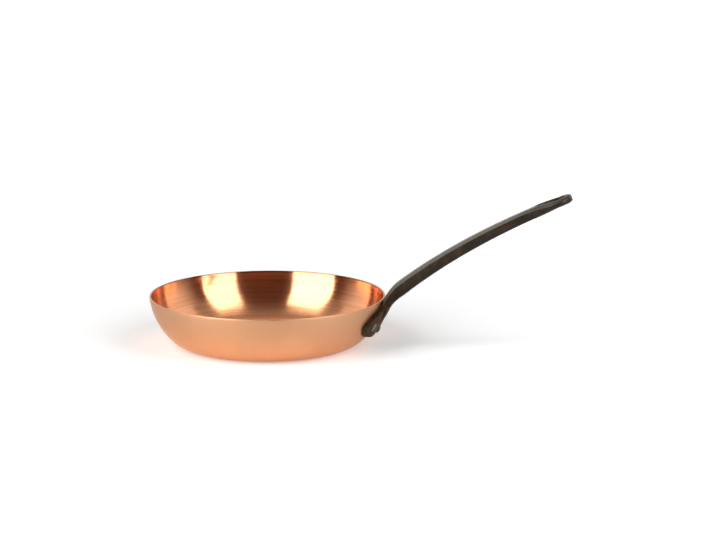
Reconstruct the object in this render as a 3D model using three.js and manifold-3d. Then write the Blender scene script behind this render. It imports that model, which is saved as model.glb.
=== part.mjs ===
// Copper frying pan: a spun copper body and an iron handle, held together by three rivets.
// Millimetres, +Z up. The origin is the centre of the flat base, and the handle points along +X.

import * as THREE from 'three';
import { mergeVertices } from 'three/addons/utils/BufferGeometryUtils.js';
import Module from 'manifold-3d';

// Copper body
const RIM_DIAMETER = 240;
const PAN_HEIGHT = 51;
const WALL_SPREAD = 41.5; // from the edge of the flat base out to the rim
const BASE_CORNER_RADIUS = 30;
const RIM_LEAN_DEGREES = 7.3; // of the wall at the rim, off the vertical
const COPPER_THICKNESS = 2;

// Flange: the iron plate that follows the wall. Every drop is measured down from the rim.
const FLANGE_WIDTH = 87;
const FLANGE_WIDEST_DROP = 21;
const FLANGE_BOTTOM_DROP = 38;
const FLANGE_SHOULDER_WIDTH = 66; // where the straight slopes end
const FLANGE_SHOULDER_DROP = 11.2;
const FLANGE_TOP_WIDTH = 24;
const FLANGE_TOP_DROP = 4;
const FLANGE_THICKNESS = 5;

// Grip: a ridge on the flange that clears the rim and arches out to the hanging eye
const RIDGE_WIDTH = 30;
const RIDGE_HEIGHT = 1.4; // proud of the flange, where the grip leaves it
const RIDGE_TOP_DROP = 13;
const NECK_REACH = 17; // beyond the rim
const NECK_RISE = 10.9; // above the rim
const NECK_WIDTH = 19;
const NECK_THICKNESS = 14.4;
const WAIST_WIDTH = 16.5; // the slimmest place, just before the eye
const WAIST_THICKNESS = 11.2;
const HANDLE_REACH = 189.5; // tip beyond the rim
const HANDLE_RISE = 110.3; // tip above the rim
const GRIP_ARCH = 6.8; // rise of the arch above a straight line from neck to tip

// Hanging eye: a long loop around a slot that narrows towards the grip
const EYE_WIDTH = 30;
const EYE_THICKNESS = 10.8;
const EYE_TAPER_LENGTH = 34; // from the eye's widest place back to the waist
const SLOT_WIDTH = 18;
const SLOT_NARROW_WIDTH = 6;
const SLOT_LENGTH = 30;

// Rivets
const SHANK_DIAMETER = 6;
const HEAD_DIAMETER = 13; // inside the pan
const HEAD_HEIGHT = 2.2;
const TAIL_DIAMETER = 9.5; // hammered over on the flange
const TAIL_HEIGHT = 1.4;
const SIDE_RIVET_EDGE = 13.5; // from the flange's side to a side rivet
const LOWER_RIVET_EDGE = 8.5; // from the flange's bottom to the lower rivet

// Clearances
const SEAT_GAP = 0.3; // between faces that are drawn tight
const SHANK_GAP = 0.3; // around a shank in its hole
const TAIL_ROOM = 3; // from the lower rivet's tail up to the ridge

// Shape factors
const ROUND = 0.55; // control length that rounds a cubic curve like a quarter circle
const SECTION_POWER = 3.6; // grip section: 2 is an ellipse, more is squarer
const EYE_POWER = 2; // the same for the eye's section
const ARCH_PEAK = 0.44; // place of the arch's peak along the grip, 0 at the neck
const TIP_FULLNESS = 0.5; // share of the eye's thickness left at the very tip
const TIP_SWEEP_DEGREES = 80; // of the tip's rounding that is drawn before it is cut square

// Fineness
const ROUND_STEPS = 84; // around the pan
const ARC_STEPS = 6; // along each arc of a profile
const CURVE_STEPS = 8; // along each curve of an outline
const SECTION_STEPS = 18; // around the grip
const GRIP_STEPS = 10; // along each stretch of the grip
const RIVET_STEPS = 18; // around a rivet

const wasm = await Module();
wasm.setup();

const { degToRad, lerp } = THREE.MathUtils;
const rimRadius = RIM_DIAMETER / 2;
const flatRadius = rimRadius - WALL_SPREAD;
const lipRadius = COPPER_THICKNESS / 2;
const wall = wallArcs();
const grip = gripCurves();
const rivetPlaces = placeRivets();

// The outside of the wall is two arcs that meet smoothly: a corner arc off the flat base and
// a wider one up to the rim. An angle is how far the surface's normal dips below the horizontal.
function wallArcs() {
  const lean = degToRad(RIM_LEAN_DEGREES);
  const top = PAN_HEIGHT - lipRadius * (1 + Math.sin(lean));
  const runOut = WALL_SPREAD - BASE_CORNER_RADIUS * Math.cos(lean);
  const climb = top - BASE_CORNER_RADIUS * (1 - Math.sin(lean));
  const knuckle = 2 * Math.atan2(runOut, climb) - lean;
  const extra = climb / (Math.sin(knuckle) - Math.sin(lean));
  const centre = new THREE.Vector2(
    flatRadius - extra * Math.cos(knuckle),
    BASE_CORNER_RADIUS + extra * Math.sin(knuckle),
  );
  return { lean, knuckle, centre, radius: BASE_CORNER_RADIUS + extra };
}

function arcPoints(centre, radius, from, to) {
  const points = [];
  for (let i = 0; i <= ARC_STEPS; i++) {
    const angle = lerp(from, to, i / ARC_STEPS);
    const spoke = new THREE.Vector2(Math.cos(angle), Math.sin(angle));
    points.push(spoke.multiplyScalar(radius).add(centre));
  }
  return points;
}

// The wall from the flat base to the rim, moved outwards by an offset.
function wallRun(offset) {
  const cornerCentre = new THREE.Vector2(flatRadius, BASE_CORNER_RADIUS);
  const cornerRadius = BASE_CORNER_RADIUS + offset;
  const corner = arcPoints(cornerCentre, cornerRadius, -Math.PI / 2, -wall.knuckle);
  const side = arcPoints(wall.centre, wall.radius + offset, -wall.knuckle, -wall.lean);
  return [...corner, ...side.slice(1)];
}

// A place on the wall at a drop below the rim, moved outwards by an offset, and the dip there.
function onWall(drop, offset) {
  const dip = Math.asin((wall.centre.y - PAN_HEIGHT + drop) / wall.radius);
  const spoke = new THREE.Vector2(Math.cos(dip), -Math.sin(dip));
  return { dip, point: spoke.multiplyScalar(wall.radius + offset).add(wall.centre) };
}

function lathe(profile, steps) {
  return new THREE.LatheGeometry(profile, steps).rotateX(Math.PI / 2);
}

// A closed geometry as a solid that can be joined and cut.
function solid(geometry) {
  geometry.deleteAttribute('normal');
  geometry.deleteAttribute('uv');
  const merged = mergeVertices(geometry);
  const corners = merged.index.array;
  const triVerts = [];
  for (let i = 0; i < corners.length; i += 3) {
    const [a, b, c] = corners.slice(i, i + 3);
    if (a !== b && b !== c && c !== a) {
      triVerts.push(a, b, c);
    }
  }
  return new wasm.Manifold(new wasm.Mesh({
    numProp: 3,
    vertProperties: merged.attributes.position.array,
    triVerts: new Uint32Array(triVerts),
  }));
}

// Copper body: one spun shell with a flat base and a rounded lip.
function panBody() {
  const lipReach = wall.radius - lipRadius;
  const lipSpoke = new THREE.Vector2(Math.cos(wall.lean), -Math.sin(wall.lean));
  const lipCentre = lipSpoke.multiplyScalar(lipReach).add(wall.centre);
  const lip = arcPoints(lipCentre, lipRadius, -wall.lean, Math.PI - wall.lean);
  const profile = [
    new THREE.Vector2(0, 0),
    ...wallRun(0),
    ...lip.slice(1, -1),
    ...wallRun(-COPPER_THICKNESS).reverse(),
    new THREE.Vector2(0, COPPER_THICKNESS),
  ];
  return drilled(solid(lathe(profile, ROUND_STEPS)));
}

// The room that the pan takes up, with the seat gap around it.
function panRoom() {
  const top = PAN_HEIGHT + SEAT_GAP;
  const profile = [
    new THREE.Vector2(0, -SEAT_GAP),
    ...wallRun(SEAT_GAP),
    new THREE.Vector2(rimRadius + SEAT_GAP, top),
    new THREE.Vector2(0, top),
  ];
  return solid(lathe(profile, ROUND_STEPS));
}

// The flange seen along the handle: a fan with straight slopes and round lobes.
function flangeOutline() {
  const at = (side, drop) => new THREE.Vector2(side, PAN_HEIGHT - drop);
  const half = FLANGE_WIDTH / 2;
  const bottom = at(0, FLANGE_BOTTOM_DROP);
  const widest = at(half, FLANGE_WIDEST_DROP);
  const shoulder = at(FLANGE_SHOULDER_WIDTH / 2, FLANGE_SHOULDER_DROP);
  const top = at(FLANGE_TOP_WIDTH / 2, FLANGE_TOP_DROP);
  const down = new THREE.Vector2(0, -1);
  const slopeEnd = meeting(widest, down, shoulder, shoulder.clone().sub(top));
  const right = [
    ...roundedCorner(bottom, at(half, FLANGE_BOTTOM_DROP), widest),
    ...roundedCorner(widest, slopeEnd, shoulder),
    top,
  ];
  const left = right.map((point) => new THREE.Vector2(-point.x, point.y)).reverse();
  return new THREE.Shape([bottom, ...right, ...left]);
}

// Points after the start of a curve that rounds a corner off like a quarter circle.
function roundedCorner(start, corner, end) {
  const leave = start.clone().lerp(corner, ROUND);
  const arrive = end.clone().lerp(corner, ROUND);
  return new THREE.CubicBezierCurve(start, leave, arrive, end).getPoints(CURVE_STEPS).slice(1);
}

// Flange: the part of a shell around the wall that lies inside the outline.
function flangePlate() {
  const inner = wallRun(SEAT_GAP);
  const outer = wallRun(SEAT_GAP + FLANGE_THICKNESS).reverse();
  const shell = solid(lathe([...outer, ...inner, outer[0]].reverse(), ROUND_STEPS));
  const cutter = new THREE.ExtrudeGeometry(flangeOutline(), {
    depth: RIM_DIAMETER,
    bevelEnabled: false,
  });
  const alongHandle = new THREE.Matrix4().makeBasis(
    new THREE.Vector3(0, 1, 0),
    new THREE.Vector3(0, 0, 1),
    new THREE.Vector3(1, 0, 0),
  );
  return shell.intersect(solid(cutter.applyMatrix4(alongHandle)));
}

// The place where two lines meet, each given by a point and a direction.
function meeting(start, along, end, back) {
  const reach = end.clone().sub(start).cross(back) / along.clone().cross(back);
  return start.clone().addScaledVector(along, reach);
}

// The grip's middle line in the handle's upright plane, x out from the pan and y up:
// a bend that leaves the wall and clears the rim, then one long arch from the neck to the tip.
function gripCurves() {
  const rim = new THREE.Vector2(rimRadius, PAN_HEIGHT);
  const neck = rim.clone().add(new THREE.Vector2(NECK_REACH, NECK_RISE));
  const tip = rim.clone().add(new THREE.Vector2(HANDLE_REACH, HANDLE_RISE));
  const chord = tip.clone().sub(neck).normalize();
  const upwards = new THREE.Vector2(-chord.y, chord.x);
  const peak = neck.clone().lerp(tip, ARCH_PEAK).addScaledVector(upwards, 2 * GRIP_ARCH);
  const foot = onWall(RIDGE_TOP_DROP, SEAT_GAP + FLANGE_THICKNESS / 2);
  const upWall = new THREE.Vector2(Math.sin(foot.dip), Math.cos(foot.dip));
  const corner = meeting(foot.point, upWall, neck, peak.clone().sub(neck));
  return {
    bend: new THREE.QuadraticBezierCurve(foot.point, corner, neck),
    arch: new THREE.QuadraticBezierCurve(neck, peak, tip),
  };
}

// The ridge rises from just under the flange's face to its full height, up along the wall.
function ridgeSections() {
  const footDrop = lowerRivetDrop() - TAIL_DIAMETER / 2 - TAIL_ROOM;
  const sections = [];
  for (let i = 0; i < CURVE_STEPS; i++) {
    const share = i / CURVE_STEPS;
    const drop = lerp(footDrop, RIDGE_TOP_DROP, share);
    const { dip, point } = onWall(drop, SEAT_GAP + FLANGE_THICKNESS / 2);
    const tangent = new THREE.Vector2(Math.sin(dip), Math.cos(dip));
    const proud = lerp(-SEAT_GAP, RIDGE_HEIGHT, share);
    const thickness = FLANGE_THICKNESS + 2 * proud;
    sections.push({ point, tangent, width: RIDGE_WIDTH, thickness, power: SECTION_POWER });
  }
  return sections;
}

// The bend grows from the ridge's section to the neck's.
function bendSections() {
  const ridgeThickness = FLANGE_THICKNESS + 2 * RIDGE_HEIGHT;
  const sections = [];
  for (let i = 0; i < GRIP_STEPS; i++) {
    const share = i / GRIP_STEPS;
    sections.push({
      point: grip.bend.getPointAt(share),
      tangent: grip.bend.getTangentAt(share),
      width: lerp(RIDGE_WIDTH, NECK_WIDTH, share),
      thickness: lerp(ridgeThickness, NECK_THICKNESS, share),
      power: SECTION_POWER,
    });
  }
  return sections;
}

// The arch: a taper from the neck to the waist, a swelling to the eye, and a round tip.
function archSections() {
  const length = grip.arch.getLength();
  const eyeBack = EYE_WIDTH / 2;
  const waistBack = eyeBack + EYE_TAPER_LENGTH;
  const sections = [];
  const add = (back, width, thickness, power) => {
    const share = 1 - back / length;
    const point = grip.arch.getPointAt(share);
    const tangent = grip.arch.getTangentAt(share);
    sections.push({ point, tangent, width, thickness, power });
  };
  for (let i = 0; i < GRIP_STEPS; i++) {
    const share = i / GRIP_STEPS;
    add(
      lerp(length, waistBack, share),
      lerp(NECK_WIDTH, WAIST_WIDTH, share),
      lerp(NECK_THICKNESS, WAIST_THICKNESS, share),
      SECTION_POWER,
    );
  }
  for (let i = 0; i < GRIP_STEPS; i++) {
    const share = i / GRIP_STEPS;
    const swell = (1 - Math.cos(Math.PI * share)) / 2;
    add(
      lerp(waistBack, eyeBack, share),
      lerp(WAIST_WIDTH, EYE_WIDTH, swell),
      lerp(WAIST_THICKNESS, EYE_THICKNESS, swell),
      lerp(SECTION_POWER, EYE_POWER, swell),
    );
  }
  for (let i = 0; i <= GRIP_STEPS; i++) {
    const sweep = degToRad(TIP_SWEEP_DEGREES) * i / GRIP_STEPS;
    add(
      eyeBack * (1 - Math.sin(sweep)),
      EYE_WIDTH * Math.cos(sweep),
      EYE_THICKNESS * lerp(TIP_FULLNESS, 1, Math.cos(sweep)),
      EYE_POWER,
    );
  }
  return sections;
}

// A rounded section drawn as a ring of points around its centre.
function sectionRing({ point, tangent, width, thickness, power }) {
  const ring = [];
  const swell = (value) => Math.sign(value) * Math.abs(value) ** (2 / power);
  for (let i = 0; i < SECTION_STEPS; i++) {
    const angle = 2 * Math.PI * i / SECTION_STEPS;
    const across = width / 2 * swell(Math.cos(angle));
    const up = thickness / 2 * swell(Math.sin(angle));
    ring.push(point.x - tangent.y * up, across, point.y + tangent.x * up);
  }
  return ring;
}

// A closed skin over a row of sections, with a flat cap at each end.
function loft(sections) {
  const first = sections[0].point;
  const last = sections[sections.length - 1].point;
  const positions = [...sections.flatMap(sectionRing), first.x, 0, first.y, last.x, 0, last.y];
  const startCentre = sections.length * SECTION_STEPS;
  const lastRing = startCentre - SECTION_STEPS;
  const faces = [];
  for (let i = 0; i < SECTION_STEPS; i++) {
    const next = (i + 1) % SECTION_STEPS;
    faces.push(startCentre, next, i);
    faces.push(startCentre + 1, lastRing + i, lastRing + next);
    for (let base = 0; base < lastRing; base += SECTION_STEPS) {
      const above = base + SECTION_STEPS;
      faces.push(base + i, base + next, above + next);
      faces.push(base + i, above + next, above + i);
    }
  }
  const geometry = new THREE.BufferGeometry();
  geometry.setAttribute('position', new THREE.Float32BufferAttribute(positions, 3));
  geometry.setIndex(faces);
  return solid(geometry);
}

// The eye's slot: a wide round end near the tip, tapering to a narrow round end.
function eyeSlot() {
  const wide = SLOT_WIDTH / 2;
  const narrow = SLOT_NARROW_WIDTH / 2;
  const apart = SLOT_LENGTH - wide - narrow;
  const turn = Math.acos((wide - narrow) / apart);
  const shape = new THREE.Shape();
  shape.absarc(0, 0, wide, -turn, turn);
  shape.absarc(-apart, 0, narrow, turn, 2 * Math.PI - turn);
  const depth = 4 * EYE_THICKNESS;
  const cutter = new THREE.ExtrudeGeometry(shape, {
    depth,
    bevelEnabled: false,
    curveSegments: CURVE_STEPS,
  });
  const share = 1 - EYE_WIDTH / 2 / grip.arch.getLength();
  const centre = grip.arch.getPointAt(share);
  const tangent = grip.arch.getTangentAt(share);
  const frame = new THREE.Matrix4().makeBasis(
    new THREE.Vector3(tangent.x, 0, tangent.y),
    new THREE.Vector3(0, 1, 0),
    new THREE.Vector3(-tangent.y, 0, tangent.x),
  ).setPosition(centre.x, 0, centre.y);
  return solid(cutter.translate(0, 0, -depth / 2).applyMatrix4(frame));
}

function handle() {
  const bar = loft([...ridgeSections(), ...bendSections(), ...archSections()]);
  const casting = flangePlate().add(bar).subtract(panRoom()).subtract(eyeSlot());
  return drilled(casting);
}

function sideRivetReach() {
  return FLANGE_WIDTH / 2 - SIDE_RIVET_EDGE;
}

function lowerRivetDrop() {
  return FLANGE_BOTTOM_DROP - LOWER_RIVET_EDGE;
}

function placeRivets() {
  return [
    { name: 'rivet_left', drop: FLANGE_WIDEST_DROP, side: sideRivetReach() },
    { name: 'rivet_right', drop: FLANGE_WIDEST_DROP, side: -sideRivetReach() },
    { name: 'rivet_lower', drop: lowerRivetDrop(), side: 0 },
  ];
}

// Stands a shape whose axis is +Z square on the wall at a rivet's place, pointing outwards.
function rivetFrame({ drop, side }) {
  const { dip, point } = onWall(drop, 0);
  const turn = Math.asin(side / point.x);
  const outwards = new THREE.Vector3(Math.cos(dip), 0, -Math.sin(dip));
  const upright = new THREE.Vector3(0, 0, 1);
  outwards.applyAxisAngle(upright, turn);
  const swing = new THREE.Quaternion().setFromUnitVectors(upright, outwards);
  const frame = new THREE.Matrix4().makeRotationFromQuaternion(swing);
  return frame.setPosition(point.x * Math.cos(turn), point.x * Math.sin(turn), point.y);
}

// A shallow dome's outline from its edge to its crown; a negative height points it inwards.
function domeOutline(diameter, seat, height) {
  const half = diameter / 2;
  const ball = (half * half + height * height) / (2 * height);
  const centre = new THREE.Vector2(0, seat + height - ball);
  const edge = Math.atan2(ball - height, half);
  const crown = Math.sign(height) * Math.PI / 2;
  return arcPoints(centre, Math.abs(ball), edge, crown);
}

function rivet(place) {
  const headHalf = HEAD_DIAMETER / 2;
  const wallHollow = headHalf * headHalf / (2 * (wall.radius - COPPER_THICKNESS));
  const headSeat = -COPPER_THICKNESS - SEAT_GAP - wallHollow;
  const tailSeat = SEAT_GAP + FLANGE_THICKNESS + SEAT_GAP;
  const shank = SHANK_DIAMETER / 2;
  const outline = [
    ...domeOutline(HEAD_DIAMETER, headSeat, -HEAD_HEIGHT).reverse(),
    new THREE.Vector2(shank, headSeat),
    new THREE.Vector2(shank, tailSeat),
    ...domeOutline(TAIL_DIAMETER, tailSeat, TAIL_HEIGHT),
  ];
  outline[0].x = 0;
  outline[outline.length - 1].x = 0;
  return solid(lathe(outline, RIVET_STEPS).applyMatrix4(rivetFrame(place)));
}

function rivetHole(place) {
  const radius = SHANK_DIAMETER / 2 + SHANK_GAP;
  const length = 4 * (COPPER_THICKNESS + FLANGE_THICKNESS);
  const drill = new THREE.CylinderGeometry(radius, radius, length, RIVET_STEPS);
  return solid(drill.rotateX(Math.PI / 2).applyMatrix4(rivetFrame(place)));
}

function drilled(body) {
  return rivetPlaces.reduce((left, place) => left.subtract(rivetHole(place)), body);
}

function namedMesh(name, body, material) {
  const { vertProperties, triVerts } = body.getMesh();
  const geometry = new THREE.BufferGeometry();
  geometry.setAttribute('position', new THREE.BufferAttribute(vertProperties, 3));
  geometry.setIndex(new THREE.BufferAttribute(triVerts, 1));
  geometry.computeVertexNormals();
  const mesh = new THREE.Mesh(geometry, material);
  mesh.name = name;
  return mesh;
}

const copper = new THREE.MeshStandardMaterial({ color: 0xe6a678, roughness: 0.35, metalness: 1 });
const iron = new THREE.MeshStandardMaterial({ color: 0x46403a, roughness: 0.45, metalness: 0.8 });

const fryingPan = new THREE.Group();
fryingPan.add(namedMesh('pan_body', panBody(), copper));
fryingPan.add(namedMesh('handle', handle(), iron));
for (const place of rivetPlaces) {
  const dull = new THREE.MeshStandardMaterial({ color: 0x5a544e, roughness: 0.5, metalness: 0.9 });
  fryingPan.add(namedMesh(place.name, rivet(place), dull));
}

export default fryingPan;
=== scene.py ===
import math

import bpy
from bpy.props import FloatProperty, FloatVectorProperty, IntProperty, PointerProperty
from bpy.types import Operator, Panel, PropertyGroup
from mathutils import Matrix, Quaternion, Vector
from mathutils.geometry import interpolate_bezier


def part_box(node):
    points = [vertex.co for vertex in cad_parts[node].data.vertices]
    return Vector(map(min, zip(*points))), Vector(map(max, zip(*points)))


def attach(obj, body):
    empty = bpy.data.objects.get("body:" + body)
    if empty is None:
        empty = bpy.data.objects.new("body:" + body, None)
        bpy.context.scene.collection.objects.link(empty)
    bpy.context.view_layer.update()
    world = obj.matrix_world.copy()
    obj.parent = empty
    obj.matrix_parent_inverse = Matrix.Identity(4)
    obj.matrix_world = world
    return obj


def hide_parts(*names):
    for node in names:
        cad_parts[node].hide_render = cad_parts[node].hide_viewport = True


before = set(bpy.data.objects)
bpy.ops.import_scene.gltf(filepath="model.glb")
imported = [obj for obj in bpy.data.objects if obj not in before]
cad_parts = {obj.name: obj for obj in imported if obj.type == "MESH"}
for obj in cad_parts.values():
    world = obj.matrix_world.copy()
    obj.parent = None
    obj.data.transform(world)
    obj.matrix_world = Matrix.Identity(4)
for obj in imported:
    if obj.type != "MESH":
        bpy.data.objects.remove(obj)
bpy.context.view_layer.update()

bl_info = {
    "name": "Copper frying pan",
    "version": (1, 0, 0),
    "blender": (4, 5, 0),
    "location": "View3D > Sidebar > Frying pan",
    "description": "Models a copper frying pan with an iron handle",
    "category": "Add Mesh",
}

PAN_LOW, PAN_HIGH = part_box("pan_body")
UPRIGHT = (0, 0, 1)
ACROSS = (0, 1, 0)
MERGE_GAP = 1e-6
ROUND = 0.55  # control length that rounds a cubic curve like a quarter circle
TURN_STEPS = 192  # around the body and around the room for it
WALL_STEPS = 22
SHELL_STEPS = 24
CROWN_STEPS = 10

# Stations along the ridge, the bend, the grip and the eye's taper, and around the tip
STATIONS = (6, 20, 40, 16)
TIP_STATIONS = 14

# Shape of the grip and the eye
ARCH_PEAK = 0.44  # share of the way from neck to tip
GRIP_ROUNDING = 0.27  # share of a side that each corner takes up
EYE_ROUNDING = 0.49
EYE_SPARE = 1.25  # room in the rounding tool where the taper starts
TIP_SWEEP = math.radians(84)  # of the eye's round end, short of a point
TIP_THINNING = 0.5  # share of the eye's thickness left at the tip

# Spare reach of the cutting tools, and drop of the floor below the base, in metres
HOLE_DEPTH = 0.03
SLOT_OVER = 0.004
FLANGE_SPARE = 0.004
FLOOR_DROP = 0.0002

# The lip's painted dark reflection starts and is full at these depths below its top, in metres
LIP_DARK_REFLECTION_START = 0.0022
LIP_DARK_REFLECTION_FULL = 0.0010

# The floor pales between these distances from the pan's axis, in metres
PALE_START = 0.1
PALE_FULL = 1.2

# Where the cards are dark: shares of the curtain's reach and of the ceiling's height
CURTAIN_DARK = 0.2
CEILING_DARK = 0.6


def number(name, default, description, **limits):
    """A number that a user may change."""
    return FloatProperty(name=name, description=description, default=default, **limits)


def length(name, metres, description):
    return number(name, metres, description, min=0.0, precision=4, unit="LENGTH")


def share(name, part, description):
    return number(name, part, description, min=0.0, max=1.0)


def angle(name, degrees, description):
    return number(name, math.radians(degrees), description, unit="ROTATION")


def power(name, watts, description):
    return number(name, watts, description, min=0.0, unit="POWER")


def colour(name, linear, description):
    """A linear colour that a user may change."""
    return FloatVectorProperty(
        name=name, description=description, default=linear, min=0.0, max=1.0, subtype="COLOR"
    )


class CopperBodySizes(PropertyGroup):
    """Sizes of the spun copper body"""

    rim_diameter: length("Rim diameter", PAN_HIGH.x - PAN_LOW.x, "Outside of the rim")
    height: length("Height", PAN_HIGH.z - PAN_LOW.z, "From base to lip")
    wall_spread: length("Wall spread", 0.0415, "From the flat base out to the rim")
    corner_radius: length("Corner radius", 0.030, "Of the wall's first arc")
    rim_lean: angle("Rim lean", 7.3, "Of the wall at the rim")
    copper_thickness: length("Copper thickness", 0.002, "Of the base and the wall")
    rounds: IntProperty(
        name="Steps around", description="Faces around the body", default=TURN_STEPS, min=24
    )


class HandleSizes(PropertyGroup):
    """Sizes of the cast iron handle; drops are from the rim"""

    flange_width: length("Flange width", 0.087, "Of the plate on the wall")
    flange_widest_drop: length("Widest drop", 0.021, "Where the flange is widest")
    flange_bottom_drop: length("Bottom drop", 0.038, "Where the flange ends")
    shoulder_width: length("Shoulder width", 0.066, "Across the ends of the slopes")
    shoulder_drop: length("Shoulder drop", 0.0112, "Where the slopes end")
    flange_top_width: length("Top width", 0.024, "Across the straight top")
    flange_top_drop: length("Top drop", 0.004, "Where the straight top lies")
    flange_thickness: length("Flange thickness", 0.005, "Of the plate")
    seat_gap: length("Seat gap", 0.0003, "Between faces drawn tight")
    ridge_width: length("Ridge width", 0.030, "Of the grip's root")
    ridge_height: length("Ridge height", 0.0014, "Proud of the flange")
    ridge_foot_drop: length("Ridge foot drop", 0.02175, "Where the ridge starts")
    ridge_top_drop: length("Ridge top drop", 0.013, "Where the grip leaves the flange")
    neck_reach: length("Neck reach", 0.017, "Beyond the rim")
    neck_rise: length("Neck rise", 0.0109, "Above the rim")
    neck_width: length("Neck width", 0.019, "Across the neck")
    neck_thickness: length("Neck thickness", 0.0144, "Through the neck")
    waist_width: length("Waist width", 0.0165, "Across the slimmest place")
    waist_thickness: length("Waist thickness", 0.0112, "Through the slimmest place")
    reach: length("Reach", 0.1895, "Of the tip beyond the rim")
    rise: length("Rise", 0.1103, "Of the tip above the rim")
    arch: length("Arch", 0.0068, "Above a line from neck to tip")
    eye_width: length("Eye width", 0.030, "Across the hanging eye")
    eye_thickness: length("Eye thickness", 0.0108, "Through the hanging eye")
    eye_taper: length("Eye taper", 0.034, "From its widest place to the waist")
    slot_width: length("Slot width", 0.018, "Across the wide end")
    slot_narrow_width: length("Slot narrow width", 0.006, "Across the narrow end")
    slot_length: length("Slot length", 0.030, "From end to end")
    slot_flare: length("Slot flare", 0.0022, "Chamfer around the mouths")
    casting_grain: length("Casting grain", 0.0006, "Fineness of the cast skin")


class RivetSizes(PropertyGroup):
    """Sizes and places of the rivets; drops are from the rim"""

    shank_diameter: length("Shank diameter", 0.006, "Of the shank")
    shank_gap: length("Shank gap", 0.0003, "Around a shank in its hole")
    head_diameter: length("Head diameter", 0.013, "Of the head inside the pan")
    head_height: length("Head height", 0.0022, "Of the head inside the pan")
    tail_diameter: length("Tail diameter", 0.0095, "Of the tail on the flange")
    tail_height: length("Tail height", 0.0014, "Of the tail on the flange")
    side_reach: length("Side reach", 0.030, "From the middle plane")
    side_drop: length("Side drop", 0.021, "Of the side rivets")
    lower_drop: length("Lower drop", 0.0295, "Of the lower rivet")


class FinishColours(PropertyGroup):
    """Colours of the finishes, as linear light"""

    copper_outside: colour("Copper outside", (0.80, 0.40, 0.20), "Satin copper outside")
    # Random tarnish patches, and painted shade that darkens the wall towards the rim
    copper_tarnish_and_shade: colour("Copper tarnish", (0.65, 0.355, 0.20), "Dulled by handling")
    copper_inside: colour("Copper inside", (0.90, 0.41, 0.21), "Brushed copper inside")
    copper_groove: colour("Copper groove", (0.75, 0.305, 0.135), "Bottom of the brushed lines")
    # Painted dark reflection along the top of the lip
    copper_lip_dark_reflection: colour("Copper edge", (0.40, 0.19, 0.095), "Top of the lip")
    iron: colour("Iron", (0.009, 0.0055, 0.0030), "Blackened iron")
    iron_worn: colour("Worn iron", (0.028, 0.0185, 0.0110), "Where the black is thin")
    # Painted highlight on the upper side of the grip
    iron_top_highlight: colour("Rubbed iron", (0.095, 0.087, 0.076), "Upper side, greyed by hands")
    # Painted shade on the handle's underside
    iron_underside_shade: colour("Sooty iron", (0.004, 0.003, 0.0025), "Underside, black with soot")
    iron_scale: colour("Iron scale", (0.034, 0.021, 0.0135), "Brown skin that heat leaves")
    iron_scale_worn: colour("Worn scale", (0.078, 0.050, 0.034), "Where the scale is thin")
    rivet: colour("Rivet iron", (0.10, 0.088, 0.076), "Hammered iron of the rivets")
    rivet_worn: colour("Worn rivet", (0.23, 0.20, 0.17), "Where the rivets are bright")
    floor: colour("Floor", (0.85, 0.85, 0.85), "Pale floor")


class StudioSettings(PropertyGroup):
    """Camera and light; bearings are off the camera's, reaches from the pan's axis"""

    camera_azimuth: angle("Camera azimuth", 10.0, "Around the pan, 0 looks along +Y")
    camera_elevation: angle("Camera elevation", 11.7, "Above the horizon")
    camera_distance: length("Camera distance", 3.099, "From what it looks at")
    camera_lens: number("Lens", 153.3, "Focal length", unit="CAMERA")
    aim_right: length("Aim to the right", 0.09225, "Across the picture")
    aim_height: length("Aim height", 0.0762, "Above the base")
    fill_level: share("Fill level", 0.05, "Light from all around")
    left_power: power("Left power", 45.0, "Of the left softbox")
    left_bearing: angle("Left bearing", -53.0, "Of the left softbox")
    left_width: length("Left width", 1.41, "Of the left softbox")
    right_power: power("Right power", 29.0, "Of the right softbox")
    right_bearing: angle("Right bearing", 58.2, "Of the right softbox")
    right_width: length("Right width", 1.13, "Of the right softbox")
    softbox_height: length("Softbox height", 2.3, "Of both softboxes")
    softbox_foot: length("Softbox foot", 0.04, "From the floor up to them")
    softbox_reach: length("Softbox reach", 1.5, "To their middles")
    softbox_bow: angle("Softbox bow", 9.0, "Of their faces, down to the pan")
    softbox_lean: angle("Softbox lean", 9.0, "Of their tops, to the sides")
    near_glow: share("Near glow", 0.3, "Paleness of the floor at the pan")
    far_glow: share("Far glow", 1.0, "Paleness of the floor far behind")
    mirror_glow: share("Mirror glow", 0.2, "Paleness of the floor in the metal")
    ceiling: colour("Ceiling", (0.34, 0.34, 0.34), "Overhead, in the metal")
    ceiling_front: colour("Ceiling front", (0.105, 0.058, 0.042), "Towards the camera")
    ceiling_size: length("Ceiling size", 12.0, "Along a side")
    ceiling_height: length("Ceiling height", 3.2, "Above the floor")
    ceiling_reach: length("Ceiling reach", 4.64, "To its middle")
    curtain: colour("Curtain", (0.105, 0.052, 0.037), "In the metal")
    curtain_end: colour("Curtain end", (0.95, 0.95, 0.95), "At its two ends")
    curtain_sweep: angle("Curtain sweep", 118.0, "Bearing of its ends")
    curtain_reach: length("Curtain reach", 2.2, "To the curtain")
    curtain_height: length("Curtain height", 1.5, "Above the floor")


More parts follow.
